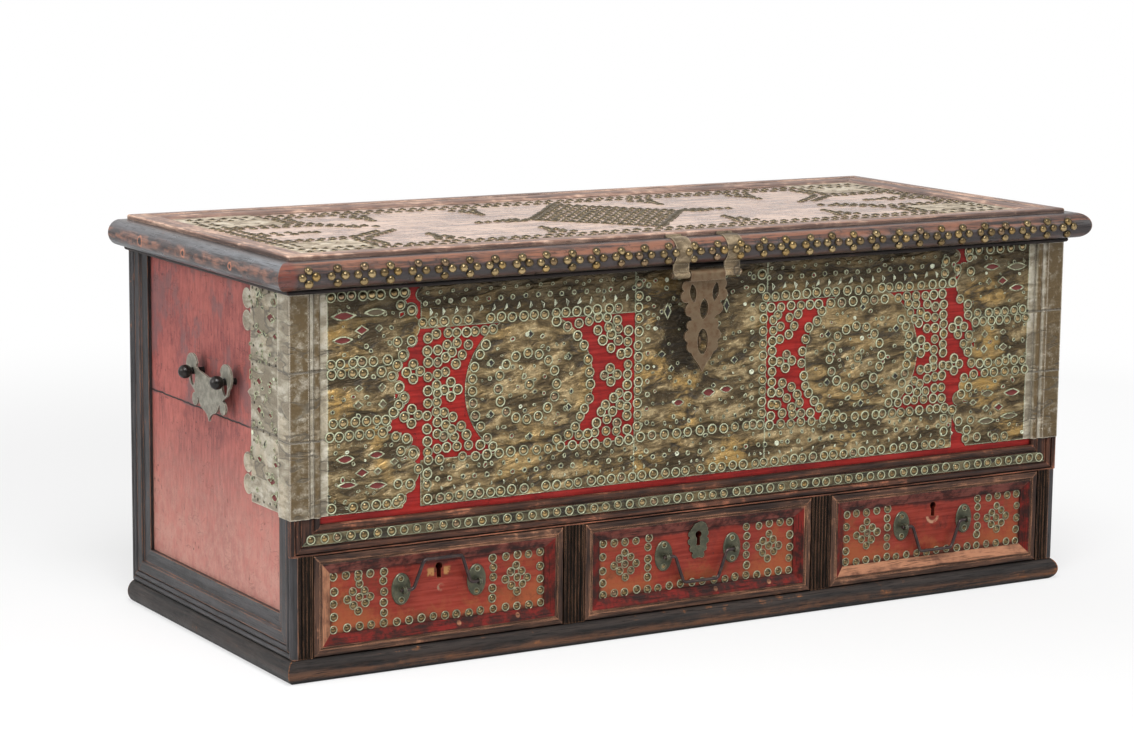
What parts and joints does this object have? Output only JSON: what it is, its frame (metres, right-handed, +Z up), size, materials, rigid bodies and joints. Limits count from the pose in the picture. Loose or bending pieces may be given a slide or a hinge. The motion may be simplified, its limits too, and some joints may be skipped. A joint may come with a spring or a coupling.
{
  "type": "dowry chest",
  "caption": "Brass-studded dowry chest with a hinged lid, a swinging hasp, sliding drawers with bails and a plate handle on each end.",
  "frame": {"origin": "on the floor, below the middle of the chest", "axes": "X to the right seen from the front, Y towards the back, Z up"},
  "size_m": [1.256, 0.5352, 0.5315],
  "materials": {
    "dark_wood": "dark waxed hardwood, worn at the edges",
    "red_board": "old red paint on hardwood",
    "lid_wood": "faded hardwood",
    "plain_wood": "unpainted hardwood",
    "brass_sheet": "aged, beaten sheet brass",
    "iron": "forged iron, brown patina",
    "aged_plate": "darkened cast brass"
  },
  "bodies": {
    "case": {"plinth_boards": "dark_wood", "corner_reeds": "dark_wood", "left_divider": "dark_wood", "right_divider": "dark_wood", "front_frame_moulding": "dark_wood", "left_end_moulding": "dark_wood", "right_end_moulding": "dark_wood", "left_end_board": "red_board", "right_end_board": "red_board", "front_board": "red_board", "bottom_board": "plain_wood", "back_board": "plain_wood", "chest_floor": "plain_wood", "drawer_stops": "plain_wood", "left_corner_sheets": "brass_sheet", "right_corner_sheets": "brass_sheet", "left_end_sheets": "brass_sheet", "right_end_sheets": "brass_sheet", "left_medallion_sheet": "brass_sheet", "right_medallion_sheet": "brass_sheet", "centre_sheet": "brass_sheet", "rail_strip": "brass_sheet", "hasp_staple": "iron", "hinge_case_leaves": "iron", "hinge_pins": "iron", "left_handle_posts": "iron", "right_handle_posts": "iron"},
    "lid": {"lid_board": "lid_wood", "lid_edge_moulding": "dark_wood", "lid_lip_moulding": "dark_wood", "lid_frame_moulding": "dark_wood", "lid_corner_sheets": "brass_sheet", "hasp_straps": "brass_sheet", "hasp_rod": "iron", "hinge_lid_leaves": "iron"},
    "hasp": {"hasp": "iron"},
    "left_handle": {"left_handle_plate": "aged_plate"},
    "right_handle": {"right_handle_plate": "aged_plate"},
    "left_drawer": {"left_drawer_front": "red_board", "left_drawer_moulding": "dark_wood", "left_drawer_box": "plain_wood", "left_drawer_lock": "iron", "left_drawer_bail_plates": "aged_plate"},
    "left_bail": {"left_drawer_bail": "iron"},
    "centre_drawer": {"centre_drawer_front": "red_board", "centre_drawer_moulding": "dark_wood", "centre_drawer_box": "plain_wood", "centre_drawer_lock": "iron", "centre_drawer_bail_plates": "aged_plate", "centre_drawer_escutcheon": "aged_plate"},
    "centre_bail": {"centre_drawer_bail": "iron"},
    "right_drawer": {"right_drawer_front": "red_board", "right_drawer_moulding": "dark_wood", "right_drawer_box": "plain_wood", "right_drawer_lock": "iron", "right_drawer_bail_plates": "aged_plate"},
    "right_bail": {"right_drawer_bail": "iron"}
  },
  "joints": [
    {"name": "lid_hinge", "type": "hinge", "parent": "case", "child": "lid", "pos_m": [0, 0.2626, 0.484], "axis": [-1, 0, 0], "range_deg": [0, 100]},
    {"name": "hasp_pivot", "type": "hinge", "parent": "lid", "child": "hasp", "pos_m": [-0.012, -0.2584, 0.478], "axis": [-1, 0, 0], "range_deg": [-6.5, 138]},
    {"name": "left_drawer_slide", "type": "slide", "parent": "case", "child": "left_drawer", "axis": [0, -1, 0], "range_m": [0, 0.34]},
    {"name": "centre_drawer_slide", "type": "slide", "parent": "case", "child": "centre_drawer", "axis": [0, -1, 0], "range_m": [0, 0.34]},
    {"name": "right_drawer_slide", "type": "slide", "parent": "case", "child": "right_drawer", "axis": [0, -1, 0], "range_m": [0, 0.34]},
    {"name": "left_bail_swing", "type": "hinge", "parent": "left_drawer", "child": "left_bail", "pos_m": [-0.39, -0.2404, 0.1025], "axis": [1, 0, 0], "range_deg": [0, 183.7]},
    {"name": "centre_bail_swing", "type": "hinge", "parent": "centre_drawer", "child": "centre_bail", "pos_m": [0, -0.2404, 0.1025], "axis": [-1, 0, 0], "range_deg": [0, 177]},
    {"name": "right_bail_swing", "type": "hinge", "parent": "right_drawer", "child": "right_bail", "pos_m": [0.39, -0.2404, 0.1025], "axis": [-1, 0, 0], "range_deg": [0, 183.7]},
    {"name": "left_handle_swing", "type": "hinge", "parent": "case", "child": "left_handle", "pos_m": [-0.604, -0.0124, 0.3574], "axis": [0, 1, 0], "range_deg": [0, 28]},
    {"name": "right_handle_swing", "type": "hinge", "parent": "case", "child": "right_handle", "pos_m": [0.604, -0.0124, 0.3574], "axis": [0, -1, 0], "range_deg": [0, 28]}
  ]
}
